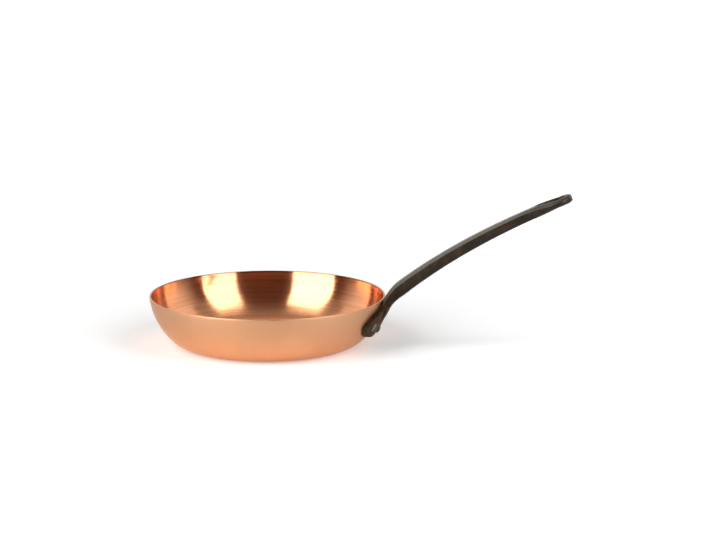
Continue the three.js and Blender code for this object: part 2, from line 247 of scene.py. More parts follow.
class Wall:
    """The outside of the copper wall: a corner arc off the flat base, then a wider arc to the rim.

    A dip is how far the surface's normal points below the horizontal.
    """

    def __init__(self, sizes):
        self.thickness = sizes.copper_thickness
        self.height = sizes.height
        self.rim_radius = sizes.rim_diameter / 2
        self.flat_radius = self.rim_radius - sizes.wall_spread
        self.corner_radius = sizes.corner_radius
        self.lean = sizes.rim_lean
        self.lip_radius = self.thickness / 2
        top = self.height - self.lip_radius * (1 + math.sin(self.lean))
        run_out = sizes.wall_spread - self.corner_radius * math.cos(self.lean)
        climb = top - self.corner_radius * (1 - math.sin(self.lean))
        self.knuckle = 2 * math.atan2(run_out, climb) - self.lean
        extra = climb / (math.sin(self.knuckle) - math.sin(self.lean))
        self.radius = self.corner_radius + extra
        self.corner_centre = Vector((self.flat_radius, 0, self.corner_radius))
        self.centre = self.corner_centre - extra * self.spoke(self.knuckle)

    @staticmethod
    def spoke(dip):
        """The way out, square to the surface."""
        return Vector((math.cos(dip), 0, -math.sin(dip)))

    @staticmethod
    def climb(dip):
        """The way up along the surface."""
        return Vector((math.sin(dip), 0, math.cos(dip)))

    def dip_at(self, drop):
        """The dip of the upper arc at a drop below the rim."""
        return math.asin((self.centre.z - self.height + drop) / self.radius)

    def place(self, dip, offset=0.0):
        """A point of the upper arc, moved out by an offset."""
        return self.centre + (self.radius + offset) * self.spoke(dip)

    def is_inside(self, point):
        """Whether a point of the body's skin is on its inner side."""
        across = Vector((math.hypot(point.x, point.y), 0, point.z))
        half = self.thickness / 2
        if across.x <= self.flat_radius:
            return across.z > half
        from_corner = across - self.corner_centre
        if math.atan2(-from_corner.z, from_corner.x) > self.knuckle:
            return from_corner.length < self.corner_radius - half
        return (across - self.centre).length < self.radius - half


def set_mode(mode):
    bpy.ops.object.mode_set(mode=mode)


def pick_all():
    bpy.ops.mesh.select_all(action="SELECT")


def deselect_all():
    if bpy.context.object and bpy.context.object.mode != "OBJECT":
        set_mode("OBJECT")
    bpy.ops.object.select_all(action="DESELECT")


def named(name):
    """Names the new active object and its mesh."""
    piece = bpy.context.active_object
    piece.name = name
    piece.data.name = name
    return piece


def activate(piece):
    deselect_all()
    piece.select_set(True)
    bpy.context.view_layer.objects.active = piece


def settle(piece):
    """Puts the object's place, turn and scale into its mesh."""
    activate(piece)
    bpy.ops.object.transform_apply(location=True, rotation=True, scale=True)


def modify(piece, kind, **settings):
    """Adds a modifier to a piece and applies it."""
    modifier = piece.modifiers.new(kind.title(), kind)
    for label, value in settings.items():
        setattr(modifier, label, value)
    activate(piece)
    bpy.ops.object.modifier_apply(modifier=modifier.name)


def combine(piece, tool, operation):
    """Joins a tool to a piece, cuts it away or keeps what they share, and drops the tool.

    A cut leaves doubled points, which would spoil the next one, so they are merged.
    """
    modify(piece, "BOOLEAN", operation=operation, solver="EXACT", object=tool)
    bpy.data.objects.remove(tool)
    set_mode("EDIT")
    close_mesh()


def start_drawing(name, place):
    """Starts a piece as one vertex, in edit mode."""
    deselect_all()
    bpy.ops.mesh.primitive_plane_add(size=0.01)
    piece = named(name)
    set_mode("EDIT")
    bpy.ops.mesh.select_mode(type="VERT")
    pick_all()
    bpy.ops.mesh.merge(type="CENTER")
    bpy.ops.transform.translate(value=place)
    return piece


def draw_lines(*points):
    """Draws straight lines on from the last vertex, which is the first point."""
    for start, end in zip(points, points[1:]):
        step = Vector(end) - Vector(start)
        bpy.ops.mesh.extrude_region_move(TRANSFORM_OT_translate={"value": step})


def draw_arc(centre, turn, steps):
    """Draws on from the last vertex, around a centre in the XZ plane."""
    bpy.ops.mesh.spin(steps=steps, angle=turn, center=centre, axis=ACROSS)


def spin_shut(steps):
    """Spins the drawn profile around the upright axis into a closed body."""
    pick_all()
    bpy.ops.mesh.spin(steps=steps, angle=2 * math.pi, center=(0, 0, 0), axis=UPRIGHT)
    close_mesh()


def close_mesh():
    pick_all()
    bpy.ops.mesh.remove_doubles(threshold=MERGE_GAP)
    bpy.ops.mesh.normals_make_consistent()
    set_mode("OBJECT")


def finish_piece(piece, node, slot, *materials):
    """Dresses a piece, and lets it stand for its node of the frame."""
    for material in materials:
        piece.data.materials.append(material)
    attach(piece, "root")
    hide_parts(node)


# Finishes


def new_group(name, inputs, outputs):
    """A shader node group with a vector input, number inputs and number outputs."""
    tree = bpy.data.node_groups.new(name, "ShaderNodeTree")
    add, kind = tree.interface.new_socket, "NodeSocketFloat"
    add(name="Vector", in_out="INPUT", socket_type="NodeSocketVector")
    for label, default in inputs.items():
        add(name=label, in_out="INPUT", socket_type=kind).default_value = default
    for label in outputs:
        add(name=label, in_out="OUTPUT", socket_type=kind)
    return tree, tree.nodes.new("NodeGroupInput"), tree.nodes.new("NodeGroupOutput")


def plug(tree, entry, value):
    """Feeds an input from a socket, or sets it to a plain value."""
    if isinstance(value, bpy.types.NodeSocket):
        tree.links.new(value, entry)
    else:
        entry.default_value = value


def fill(tree, node, **inputs):
    """Plugs a node's inputs, named with low lines for spaces; returns the node."""
    for label, value in inputs.items():
        plug(tree, node.inputs[label.replace("_", " ")], value)
    return node


def add_node(tree, kind, **inputs):
    return fill(tree, tree.nodes.new(kind), **inputs)


def operate(tree, kind, operation, values, **inputs):
    """Adds a node that works on sockets or plain values; returns its outputs."""
    node = add_node(tree, kind)
    node.operation = operation
    for entry, value in zip(node.inputs, values):
        plug(tree, entry, value)
    return fill(tree, node, **inputs).outputs


def math_node(tree, operation, *values):
    return operate(tree, "ShaderNodeMath", operation, values)[0]


def vector_node(tree, operation, *values, **inputs):
    outputs = operate(tree, "ShaderNodeVectorMath", operation, values, **inputs)
    return outputs["Value" if operation in {"LENGTH", "DOT_PRODUCT"} else "Vector"]


def upright_part(tree, vector):
    return add_node(tree, "ShaderNodeSeparateXYZ", Vector=vector).outputs["Z"]


def noise(tree, vector, detail, roughness=0.5):
    kind = "ShaderNodeTexNoise"
    node = add_node(tree, kind, Vector=vector, Scale=1.0, Detail=detail, Roughness=roughness)
    return node.outputs["Fac"]


def stretch(tree, value, low, high, to_low=0.0, to_high=1.0, kind="SMOOTHSTEP"):
    """Maps a range of a value onto another; returns the output."""
    node = add_node(tree, "ShaderNodeMapRange", Value=value)
    node.interpolation_type = kind
    fill(tree, node, From_Min=low, From_Max=high, To_Min=to_low, To_Max=to_high)
    return node.outputs["Result"]


def turned_lines_group():
    """Fine lines that a lathe leaves, in rings around the upright axis."""
    tree, entry, out = new_group(
        "Turned lines", {"Lines per metre": 2000.0, "Break-up": 1.5}, ["Fine", "Broad"]
    )
    place = entry.outputs["Vector"]
    flat = vector_node(tree, "MULTIPLY", place, (1.0, 1.0, 0.0))
    along = math_node(tree, "ADD", vector_node(tree, "LENGTH", flat), upright_part(tree, place))
    heading = vector_node(tree, "NORMALIZE", flat)
    turn = vector_node(tree, "SCALE", heading, Scale=entry.outputs["Break-up"])
    rings = math_node(tree, "MULTIPLY", along, entry.outputs["Lines per metre"])
    step = add_node(tree, "ShaderNodeCombineXYZ", Z=rings)
    drawn = vector_node(tree, "ADD", turn, step.outputs[0])
    wide = vector_node(tree, "MULTIPLY", drawn, (0.5, 0.5, 0.16))
    fine = noise(tree, drawn, detail=2.0, roughness=0.6)
    fill(tree, out, Fine=fine, Broad=noise(tree, wide, detail=1.0))
    return tree


def mottle_group():
    """Soft uneven patches, as handling and air leave on metal."""
    tree, entry, out = new_group("Mottle", {"Patches per metre": 30.0}, ["Patches"])
    place, scale = entry.outputs["Vector"], entry.outputs["Patches per metre"]
    spread = vector_node(tree, "SCALE", place, Scale=scale)
    cloud = noise(tree, spread, detail=4.0, roughness=0.55)
    fill(tree, out, Patches=stretch(tree, cloud, low=0.36, high=0.68))
    return tree


def cast_grain_group():
    """The pebbled skin of cast or hammered iron."""
    tree, entry, out = new_group("Cast grain", {"Grains per metre": 900.0}, ["Height"])
    place, scale = entry.outputs["Vector"], entry.outputs["Grains per metre"]
    spread = vector_node(tree, "SCALE", place, Scale=scale)
    pits = add_node(tree, "ShaderNodeTexVoronoi", Vector=spread, Scale=0.45)
    pits.feature = "SMOOTH_F1"
    pebbles = math_node(tree, "MULTIPLY", pits.outputs["Distance"], 0.5)
    sand = noise(tree, spread, detail=3.0, roughness=0.6)
    fill(tree, out, Height=math_node(tree, "ADD", sand, pebbles))
    return tree


EFFECTS = {
    "Turned lines": turned_lines_group, "Mottle": mottle_group, "Cast grain": cast_grain_group
}


class MaterialMaker:
    """Starts a node material with a Principled shader and adds nodes to it."""

    def __init__(self, name, height=1.0):
        self.height = height
        self.material = bpy.data.materials.new(name)
        self.material.use_nodes = True
        self.tree = self.material.node_tree
        self.shader = self.tree.nodes["Principled BSDF"]
        self.place = add_node(self.tree, "ShaderNodeTexCoord").outputs["Object"]

    def set(self, **inputs):
        fill(self.tree, self.shader, **inputs)

    def group(self, name, **inputs):
        """Adds a shared effect, made at its first use; returns its outputs."""
        node = add_node(self.tree, "ShaderNodeGroup")
        node.node_tree = bpy.data.node_groups.get(name) or EFFECTS[name]()
        return fill(self.tree, node, Vector=self.place, **inputs).outputs

    def mix(self, factor, first, second):
        """Mixes two colours or sockets by a mask; returns the output."""
        node = add_node(self.tree, "ShaderNodeMix")
        node.data_type = "RGBA"
        fill(self.tree, node, Factor=factor)
        entries = [entry for entry in node.inputs if entry.type == "RGBA"]
        for entry, value in zip(entries, (first, second)):
            is_socket = isinstance(value, bpy.types.NodeSocket)
            plug(self.tree, entry, value if is_socket else (*value, 1.0))
        return next(output for output in node.outputs if output.type == "RGBA")

    def fade_up(self, low, high, start, end):
        """A value that changes between two shares of the pan's height."""
        up, full = upright_part(self.tree, self.place), self.height
        return stretch(self.tree, up, low * full, high * full, start, end)

    def facing(self, start, end):
        """A mask by how far up a surface faces: 1 is straight up and -1 straight down."""
        normal = add_node(self.tree, "ShaderNodeNewGeometry").outputs["Normal"]
        return stretch(self.tree, upright_part(self.tree, normal), start, end)

    def bump(self, height, strength, depth):
        node = add_node(self.tree, "ShaderNodeBump", Strength=strength, Distance=depth)
        self.set(Normal=fill(self.tree, node, Height=height).outputs["Normal"])


def satin_copper(colours, height):
    """Outside of the body: satin copper, faintly turned, tarnished in random patches and darker
    towards the rim as painted shade.
    """
    maker = MaterialMaker("copper_satin", height)
    lines = maker.group("Turned lines", Lines_per_metre=2600.0)
    patches = maker.group("Mottle", Patches_per_metre=16.0)["Patches"]
    patchy = math_node(maker.tree, "MULTIPLY", patches, 0.3)
    # Painted shade: the outside darkens towards the rim, added to the random tarnish patches
    painted_rim_shade = maker.fade_up(low=0.1, high=1.0, start=0.0, end=0.75)
    tarnish_and_rim_shade = math_node(maker.tree, "ADD", painted_rim_shade, patchy)
    maker.set(Base_Color=maker.mix(tarnish_and_rim_shade, colours.copper_outside, colours.copper_tarnish_and_shade))
    uneven = math_node(maker.tree, "ADD", patches, lines["Fine"])
    satin = stretch(maker.tree, uneven, low=0.2, high=1.6, to_low=0.44, to_high=0.54)
    maker.bump(lines["Fine"], strength=0.012, depth=0.0002)
    maker.set(Roughness=satin, Metallic=1.0, Anisotropic=0.3, Anisotropic_Rotation=0.25)
    return maker.material


def brushed_copper(colours, height):
    """Inside of the body: bright copper brushed in rings, dull low down, with a painted dark
    reflection on the lip.
    """
    maker = MaterialMaker("copper_brushed", height)
    lines = maker.group("Turned lines", Lines_per_metre=1500.0)
    patches = maker.group("Mottle", Patches_per_metre=22.0)["Patches"]
    cut = stretch(maker.tree, lines["Fine"], low=0.35, high=0.62)
    ringed = maker.mix(cut, colours.copper_groove, colours.copper_inside)
    worn = stretch(maker.tree, lines["Broad"], low=0.35, high=0.65, to_high=0.9)
    base = maker.mix(worn, ringed, colours.copper_inside)
    # Darker towards the bottom of the inside
    low_darkening = maker.fade_up(low=0.0, high=0.3, start=0.45, end=0.0)
    used = maker.mix(low_darkening, base, colours.copper_groove)
    # Painted dark reflection: the lip darkens towards its top
    low, high = 1 - LIP_DARK_REFLECTION_START / height, 1 - LIP_DARK_REFLECTION_FULL / height
    lip = maker.fade_up(low, high, start=0.0, end=0.85)
    maker.set(Base_Color=maker.mix(lip, used, colours.copper_lip_dark_reflection))
    uneven = math_node(maker.tree, "ADD", patches, lines["Broad"])
    polish = stretch(maker.tree, uneven, low=0.2, high=1.6, to_low=0.14, to_high=0.19)
    dull = maker.fade_up(low=0.05, high=0.6, start=0.09, end=0.0)
    maker.set(Roughness=math_node(maker.tree, "ADD", polish, dull))
    maker.bump(lines["Fine"], strength=0.007, depth=0.0002)
    maker.set(Metallic=1.0, Anisotropic=0.8, Anisotropic_Rotation=0.25)
    return maker.material


def cast_iron(colours, height):
    """Blackened iron with a cast skin: a painted highlight greys the upper side, painted shade
    blackens the underside, and it is brown at the wall.
    """
    maker = MaterialMaker("iron_cast", height)
    grain = maker.group("Cast grain", Grains_per_metre=900.0)["Height"]
    patches = maker.group("Mottle", Patches_per_metre=85.0)["Patches"]
    skin = maker.mix(patches, colours.iron, colours.iron_worn)
    # Painted highlight: the grip's upward faces, above the rim and short of the eye, turn grey
    grip = maker.fade_up(low=0.92, high=1.12, start=0.0, end=1.0)
    eye = maker.fade_up(low=2.65, high=2.95, start=1.0, end=0.35)
    highlight_span = math_node(maker.tree, "MULTIPLY", grip, eye)
    top_highlight = math_node(maker.tree, "MULTIPLY", maker.facing(start=0.05, end=0.65), highlight_span)
    skin_with_top_highlight = maker.mix(top_highlight, skin, colours.iron_top_highlight)
    # Painted shade: downward faces turn near black
    skin_with_painted_light = maker.mix(maker.facing(start=-0.1, end=-0.7), skin_with_top_highlight, colours.iron_underside_shade)
    heated = maker.fade_up(low=0.8, high=1.5, start=1.0, end=0.0)
    scale = maker.mix(patches, colours.iron_scale, colours.iron_scale_worn)
    maker.set(Base_Color=maker.mix(heated, skin_with_painted_light, scale), Metallic=heated)
    polish = stretch(maker.tree, patches, low=0.0, high=1.0, to_low=0.29, to_high=0.23)
    dull = maker.fade_up(low=0.9, high=1.3, start=0.24, end=0.0)
    maker.set(Roughness=math_node(maker.tree, "ADD", polish, dull))
    maker.bump(grain, strength=0.15, depth=0.0004)
    maker.set(Specular_IOR_Level=0.33, Specular_Tint=(1.0, 0.85, 0.70, 1.0))
    return maker.material


def hammered_iron(colours):
    """The rivets: bare iron, dented by the hammer and bright in patches."""
    maker = MaterialMaker("iron_hammered")
    grain = maker.group("Cast grain", Grains_per_metre=420.0)["Height"]
    patches = maker.group("Mottle", Patches_per_metre=120.0)["Patches"]
    polish = stretch(maker.tree, patches, low=0.0, high=1.0, to_low=0.42, to_high=0.32)
    maker.bump(grain, strength=0.15, depth=0.0006)
    worn = maker.mix(patches, colours.rivet, colours.rivet_worn)
    maker.set(Base_Color=worn, Roughness=polish, Metallic=1.0)
    return maker.material


# Pieces


def rivet_places(rivets):
    """The drop and the side of each rivet, by its node."""
    return {
        "rivet_left": (rivets.side_drop, rivets.side_reach),
        "rivet_right": (rivets.side_drop, -rivets.side_reach),
        "rivet_lower": (rivets.lower_drop, 0.0),
    }


def rivet_frame(wall, drop, side):
    """Stands a shape along +Z square on the wall's outside."""
    dip = wall.dip_at(drop)
    place = wall.place(dip)
    turn = Matrix.Rotation(math.asin(side / place.x), 4, "Z")
    outwards = wall.spoke(dip).to_track_quat("Z", "Y").to_matrix().to_4x4()
    return turn @ Matrix.Translation(place) @ outwards


def drill(piece, wall, rivets):
    """Cuts the three rivet holes through a piece."""
    for drop, side in rivet_places(rivets).values():
        deselect_all()
        bpy.ops.mesh.primitive_cylinder_add(
            vertices=32, depth=HOLE_DEPTH, radius=rivets.shank_diameter / 2 + rivets.shank_gap
        )
        tool = named("rivet_hole")
        tool.matrix_world = rivet_frame(wall, drop, side)
        combine(piece, tool, "DIFFERENCE")


def draw_wall_up(wall, steps):
    """Draws on from the flat base up to the rim."""
    draw_arc(wall.corner_centre, math.pi / 2 - wall.knuckle, steps)
    draw_arc(wall.centre, wall.knuckle - wall.lean, steps)


def give_inside(pan, wall):
    """Gives the faces inside the pan its second finish."""
    activate(pan)
    set_mode("EDIT")
    bpy.ops.mesh.select_mode(type="FACE")
    bpy.ops.mesh.select_all(action="DESELECT")
    set_mode("OBJECT")
    for face in pan.data.polygons:
        face.select = wall.is_inside(face.center)
    set_mode("EDIT")
    pan.active_material_index = 1
    bpy.ops.object.material_slot_assign()
    set_mode("OBJECT")


class FRYINGPAN_OT_copper_body(Operator):
    """Draw the copper's profile, spin it into the body and drill it for the rivets"""

    bl_idname = "frying_pan.copper_body"
    bl_label = "Copper body"

    def execute(self, context):
        sizes = context.scene.frying_pan_body
        wall = Wall(sizes)
        base_edge = Vector((wall.flat_radius, 0, 0))
        pan = start_drawing("copper_body", (0, 0, 0))
        draw_lines((0, 0, 0), base_edge)
        draw_wall_up(wall, WALL_STEPS)
        draw_arc(wall.place(wall.lean, -wall.lip_radius), math.pi, steps=10)
        draw_arc(wall.centre, wall.lean - wall.knuckle, WALL_STEPS)
        draw_arc(wall.corner_centre, wall.knuckle - math.pi / 2, WALL_STEPS)
        draw_lines(base_edge, (0, 0, 0))
        spin_shut(sizes.rounds)
        drill(pan, wall, context.scene.frying_pan_rivets)
        colours = context.scene.frying_pan_finish
        outside = satin_copper(colours, wall.height)
        inside = brushed_copper(colours, wall.height)
        finish_piece(pan, "pan_body", "copper", outside, inside)
        give_inside(pan, wall)
        bpy.ops.object.shade_smooth_by_angle(angle=math.radians(40))
        return {"FINISHED"}


def set_knots(curve, knots):
    """Gives a curve its knots, each with the controls before and after it."""
    points = curve.data.splines[0].bezier_points
    points.add(len(knots) - len(points))
    for point, (knot, before, after) in zip(points, knots):
        point.handle_left_type = point.handle_right_type = "FREE"
        point.co = knot
        point.handle_left = before
        point.handle_right = after


class GripLine:
    """The grip's middle line: up the wall, a bend that clears the rim, and one long arch."""

    def __init__(self, wall, sizes):
        middle = sizes.seat_gap + sizes.flange_thickness / 2
        low, high = wall.dip_at(sizes.ridge_foot_drop), wall.dip_at(sizes.ridge_top_drop)
        start, foot = wall.place(low, middle), wall.place(high, middle)
        pull = 4 / 3 * math.tan((low - high) / 4) * (wall.radius + middle)
        rim = Vector((wall.rim_radius, 0, wall.height))
        neck = rim + Vector((sizes.neck_reach, 0, sizes.neck_rise))
        tip = rim + Vector((sizes.reach, 0, sizes.rise))
        chord = (tip - neck).normalized()
        upwards = Vector((-chord.z, 0, chord.x))
        peak = neck.lerp(tip, ARCH_PEAK) + 2 * sizes.arch * upwards
        up_wall, back = wall.climb(high), peak - neck
        gap = neck - foot
        run = (gap.x * back.z - gap.z * back.x) / (up_wall.x * back.z - up_wall.z * back.x)
        corner = foot + run * up_wall
        self.spans = [
            (start, start + pull * wall.climb(low), foot - pull * up_wall, foot),
            (foot, foot.lerp(corner, 2 / 3), neck.lerp(corner, 2 / 3), neck),
            (neck, neck.lerp(peak, 2 / 3), tip.lerp(peak, 2 / 3), tip),
        ]
        self.lengths = [self.measure(span) for span in self.spans]

    @staticmethod
    def measure(span, steps=400):
        points = interpolate_bezier(*span, steps)
        return sum((b - a).length for a, b in zip(points, points[1:]))

    def make_curve(self):
        """Draws the line as a curve to bend the bar along."""
        deselect_all()
        bpy.ops.curve.primitive_bezier_curve_add()
        line = named("grip_line")
        line.data.resolution_u = 64
        line.data.twist_mode = "Z_UP"
        starts, leaving, arriving, ends = zip(*self.spans)
        knots = zip((*starts, ends[-1]), (starts[0], *arriving), (*leaving, ends[-1]))
        set_knots(line, list(knots))
        return line


def blend(low, high, part):
    return low + (high - low) * part


def grip_stations(sizes, lengths):
    """(along, width, thickness) of the straight grip, from the ridge's foot to the tip."""
    eye = sum(lengths) - sizes.eye_width / 2
    marks = (
        (0, sizes.ridge_width, sizes.flange_thickness - 2 * sizes.seat_gap),
        (lengths[0], sizes.ridge_width, sizes.flange_thickness + 2 * sizes.ridge_height),
        (lengths[0] + lengths[1], sizes.neck_width, sizes.neck_thickness),
        (eye - sizes.eye_taper, sizes.waist_width, sizes.waist_thickness),
        (eye, sizes.eye_width, sizes.eye_thickness),
    )
    stations = []
    for start, end, count in zip(marks, marks[1:], STATIONS):
        for i in range(count):
            part = i / count
            swell = (1 - math.cos(math.pi * part)) / 2 if end is marks[-1] else part
            stations.append(tuple(map(blend, start, end, (part, swell, swell))))
    for i in range(TIP_STATIONS + 1):
        sweep = TIP_SWEEP * i / TIP_STATIONS
        stations.append((
            eye + sizes.eye_width / 2 * math.sin(sweep),
            sizes.eye_width * math.cos(sweep),
            sizes.eye_thickness * blend(TIP_THINNING, 1, math.cos(sweep)),
        ))
    return stations


def round_eye(bar, sizes, stations, eye):
    """Trims the bar's corners over the eye's taper, to a round section at the eye."""
    limits = []
    for at, width, thickness in stations:
        part = min(max(1 - (eye - at) / sizes.eye_taper, 0), 1)
        spare = blend(EYE_SPARE, 1, part)
        limits.append((at, spare * width, spare * thickness))
    combine(bar, draw_bar("eye_limit", limits, EYE_ROUNDING), "INTERSECT")


def draw_bar(name, stations, rounding):
    """A straight bar along +X, drawn out station by station from a square with round corners."""
    deselect_all()
    bpy.ops.mesh.primitive_plane_add(size=1.0, rotation=(0, math.pi / 2, 0))
    bar = named(name)
    settle(bar)
    set_mode("EDIT")
    pick_all()
    bpy.ops.mesh.bevel(affect="VERTICES", offset=rounding, segments=7)
    at, width, thickness = stations[0]
    bpy.ops.transform.translate(value=(at, 0, 0))
    bpy.ops.transform.resize(value=(1, width, thickness), center_override=(at, 0, 0))
    for next_at, next_width, next_thickness in stations[1:]:
        draw_lines((at, 0, 0), (next_at, 0, 0))
        bpy.ops.transform.resize(
            value=(1, next_width / width, next_thickness / thickness),
            center_override=(next_at, 0, 0),
        )
        at, width, thickness = next_at, next_width, next_thickness
    close_mesh()
    return bar


def slot_tool(sizes, eye, low, high, low_grow, high_grow):
    """A tapering slot cutter between two heights, grown by a margin at each."""
    wide, narrow = sizes.slot_width / 2, sizes.slot_narrow_width / 2
    apart = sizes.slot_length - wide - narrow
    deselect_all()
    for place, radius in ((eye, wide), (eye - apart, narrow)):
        bpy.ops.mesh.primitive_cone_add(
            vertices=48, radius1=radius + low_grow, radius2=radius + high_grow,
            depth=high - low, location=(place, 0, (low + high) / 2),
        )
        if bpy.context.mode == "OBJECT":
            tool = named("eye_slot")
            settle(tool)
            set_mode("EDIT")
    pick_all()
    bpy.ops.mesh.convex_hull()
    close_mesh()
    return tool


def pierce_eye(bar, sizes, eye):
    """Cuts the slot through the eye, with flared mouths."""
    top = sizes.eye_thickness / 2
    flare = sizes.slot_flare
    grow = flare + SLOT_OVER
    combine(bar, slot_tool(sizes, eye, -2 * top, 2 * top, 0, 0), "DIFFERENCE")
    combine(bar, slot_tool(sizes, eye, top - flare, top + SLOT_OVER, 0, grow), "DIFFERENCE")
    combine(bar, slot_tool(sizes, eye, -top - SLOT_OVER, flare - top, grow, 0), "DIFFERENCE")


def flange_outline(wall, sizes):
    """A prism along the handle: a fan with straight slopes and round lobes."""
    half, shoulder = sizes.flange_width / 2, sizes.shoulder_width / 2
    head = sizes.flange_top_width / 2
    widest, turn, top = sizes.flange_widest_drop, sizes.shoulder_drop, sizes.flange_top_drop
    bottom = sizes.flange_bottom_drop
    slope_end = turn + (half - shoulder) * (turn - top) / (shoulder - head)
    arrive = (blend(shoulder, half, ROUND), blend(turn, slope_end, ROUND))
    below = (half, blend(widest, bottom, ROUND))
    above = (half, blend(widest, slope_end, ROUND))
    right = [
        ((half, widest), below, above),
        ((shoulder, turn), arrive, (shoulder, turn)),
        ((head, top), (head, top), (head, top)),
    ]
    left = [
        ((-x, y), (-after[0], after[1]), (-before[0], before[1]))
        for (x, y), before, after in reversed(right)
    ]
    lowest = [((0, bottom), (-ROUND * half, bottom), (ROUND * half, bottom))]
    deselect_all()
    bpy.ops.curve.primitive_bezier_circle_add()
    outline = named("flange_outline")
    outline.data.resolution_u = 24
    set_knots(outline, [
        [(0, side, wall.height - drop) for side, drop in knot] for knot in lowest + right + left
    ])
    bpy.ops.object.convert(target="MESH")
    set_mode("EDIT")
    pick_all()
    bpy.ops.mesh.remove_doubles(threshold=MERGE_GAP)
    bpy.ops.mesh.edge_face_add()
    draw_lines((0, 0, 0), (2 * wall.rim_radius, 0, 0))
    close_mesh()
    return outline


def flange_plate(wall, sizes):
    """The part of a shell around the wall that lies inside the flange's outline."""
    inner, outer = sizes.seat_gap, sizes.seat_gap + sizes.flange_thickness
    low, high = wall.dip_at(sizes.flange_bottom_drop + FLANGE_SPARE), wall.lean
    reach = 2 * math.asin(sizes.flange_width / 2 / wall.flat_radius)
    plate = start_drawing("flange_plate", wall.place(low, inner))
    draw_arc(wall.centre, low - high, SHELL_STEPS)
    draw_lines(wall.place(high, inner), wall.place(high, outer))
    draw_arc(wall.centre, high - low, SHELL_STEPS)
    pick_all()
    bpy.ops.mesh.edge_face_add()
    bpy.ops.mesh.spin(steps=60, angle=reach, center=(0, 0, 0), axis=UPRIGHT)
    close_mesh()
    corners = plate.data.vertices
    middle = sum((corner.co for corner in corners), Vector()) / len(corners)
    plate.rotation_euler.z = -math.atan2(middle.y, middle.x)
    settle(plate)
    combine(plate, flange_outline(wall, sizes), "INTERSECT")
    return plate


def pan_room(wall, sizes):
    """The room that the pan takes up, with the seat gap around it."""
    gap = sizes.seat_gap
    base_edge, rim = Vector((wall.flat_radius, 0, -gap)), wall.place(wall.lean, gap)
    above = Vector((rim.x, 0, wall.height + gap))
    room = start_drawing("pan_room", (0, 0, -gap))
    draw_lines((0, 0, -gap), base_edge)
    draw_wall_up(wall, SHELL_STEPS)
    draw_lines(rim, above, (0, 0, above.z))
    spin_shut(TURN_STEPS)
    return room


class FRYINGPAN_OT_iron_handle(Operator):
    """Draw out the grip, bend it, join it to the flange and round the whole like a casting"""

    bl_idname = "frying_pan.iron_handle"
    bl_label = "Iron handle"

    def execute(self, context):
        sizes = context.scene.frying_pan_handle
        wall = Wall(context.scene.frying_pan_body)
        line = GripLine(wall, sizes)
        stations = grip_stations(sizes, line.lengths)
        eye = sum(line.lengths) - sizes.eye_width / 2
        bar = draw_bar("iron_handle", stations, GRIP_ROUNDING)
        round_eye(bar, sizes, stations, eye)
        pierce_eye(bar, sizes, eye)
        curve = line.make_curve()
        modify(bar, "CURVE", object=curve, deform_axis="POS_X")
        bpy.data.objects.remove(curve)
        combine(bar, flange_plate(wall, sizes), "UNION")
        combine(bar, pan_room(wall, sizes), "DIFFERENCE")
        drill(bar, wall, context.scene.frying_pan_rivets)
        modify(bar, "REMESH", mode="VOXEL", voxel_size=sizes.casting_grain)
        modify(bar, "SMOOTH", factor=0.5, iterations=10)
        bpy.ops.object.shade_smooth()
        iron = cast_iron(context.scene.frying_pan_finish, wall.height)
        finish_piece(bar, "handle", "iron", iron)
        return {"FINISHED"}


class FRYINGPAN_OT_rivets(Operator):
    """Draw one rivet, spin it, and set a copy at each of the three places"""

    bl_idname = "frying_pan.rivets"
    bl_label = "Rivets"

    def execute(self, context):
        sizes = context.scene.frying_pan_rivets
        handle = context.scene.frying_pan_handle
        wall = Wall(context.scene.frying_pan_body)
        shank = sizes.shank_diameter / 2
        head = sizes.head_diameter / 2
        tail = sizes.tail_diameter / 2
        hollow = head * head / (2 * (wall.radius - wall.thickness))
        seat = -wall.thickness - handle.seat_gap - hollow
        far_seat = handle.flange_thickness + 2 * handle.seat_gap
        crown = seat - sizes.head_height
        rivet = start_drawing("rivet", (0, 0, crown))
        ball = (head * head + sizes.head_height ** 2) / (2 * sizes.head_height)
        draw_arc((0, 0, crown + ball), math.asin(head / ball), CROWN_STEPS)
        draw_lines((head, 0, seat), (shank, 0, seat), (shank, 0, far_seat), (tail, 0, far_seat))
        ball = (tail * tail + sizes.tail_height ** 2) / (2 * sizes.tail_height)
        draw_arc((0, 0, far_seat + sizes.tail_height - ball), math.asin(tail / ball), CROWN_STEPS)
        spin_shut(steps=40)
        modify(rivet, "BEVEL", width=0.0003, segments=3, limit_method="ANGLE")
        bpy.ops.object.shade_smooth_by_angle(angle=math.radians(50))
        iron = hammered_iron(context.scene.frying_pan_finish)
        for node, (drop, side) in rivet_places(sizes).items():
            activate(rivet)
            bpy.ops.object.duplicate()
            copy = named(node.replace("rivet_", "") + "_rivet")
            copy.matrix_world = rivet_frame(wall, drop, side)
            settle(copy)
            finish_piece(copy, node, "rivet", iron)
        bpy.data.objects.remove(rivet)
        return {"FINISHED"}


# Studio


def make_world(studio):
    """A white background that lights the pan only a little."""
    world = bpy.data.worlds.new("studio")
    bpy.context.scene.world = world
    world.use_nodes = True
    tree = world.node_tree
    path = add_node(tree, "ShaderNodeLightPath").outputs
    seen = math_node(tree, "MAXIMUM", path["Is Camera Ray"], path["Is Glossy Ray"])
    seen = math_node(tree, "MAXIMUM", seen, path["Is Transmission Ray"])
    shown = math_node(tree, "MULTIPLY", seen, 1.0 - studio.fill_level)
    strength = math_node(tree, "ADD", shown, studio.fill_level)
    fill(tree, tree.nodes["Background"], Color=(1, 1, 1, 1), Strength=strength)


def bare_material(card):
    """Gives a card an empty material; returns its node tree and its surface input."""
    material = bpy.data.materials.new(card.name)
    material.use_nodes = True
    tree = material.node_tree
    tree.nodes.remove(tree.nodes["Principled BSDF"])
    card.data.materials.append(material)
    return tree, tree.nodes["Material Output"].inputs["Surface"]


